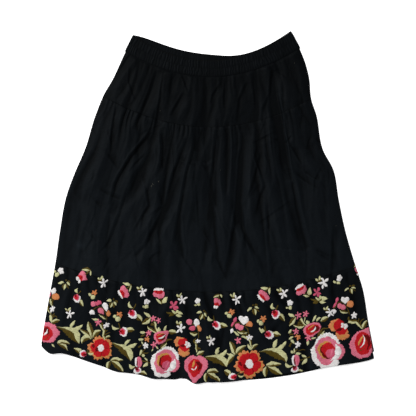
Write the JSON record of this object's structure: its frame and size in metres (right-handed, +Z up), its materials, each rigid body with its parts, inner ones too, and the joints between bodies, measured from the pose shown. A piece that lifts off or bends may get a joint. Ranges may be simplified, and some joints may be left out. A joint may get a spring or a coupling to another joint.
{
  "type": "maxi skirt",
  "caption": "Tiered black cotton maxi skirt laid flat, with a shirred elastic waist, gathered tiers and a floral embroidered border.",
  "frame": {"origin": "middle of the bounding box, on the surface the skirt lies on", "axes": "+X across the skirt towards the right side of the picture, +Y up the skirt from the hem to the waist, +Z up out of the surface"},
  "size_m": [0.865, 0.9155, 0.0104],
  "materials": {
    "shirred_cloth": "matt black cotton, shirred",
    "black_poplin": "matt black plain-weave cotton",
    "embroidered_cloth": "matt black plain-weave cotton with satin-stitch flowers"
  },
  "bodies": {
    "root": {"waistband": "shirred_cloth", "upper_tier_front": "black_poplin", "upper_tier_back": "black_poplin", "middle_tier_front": "black_poplin", "middle_tier_back": "black_poplin", "border_tier_front": "embroidered_cloth", "border_tier_back": "embroidered_cloth"}
  },
  "joints": []
}
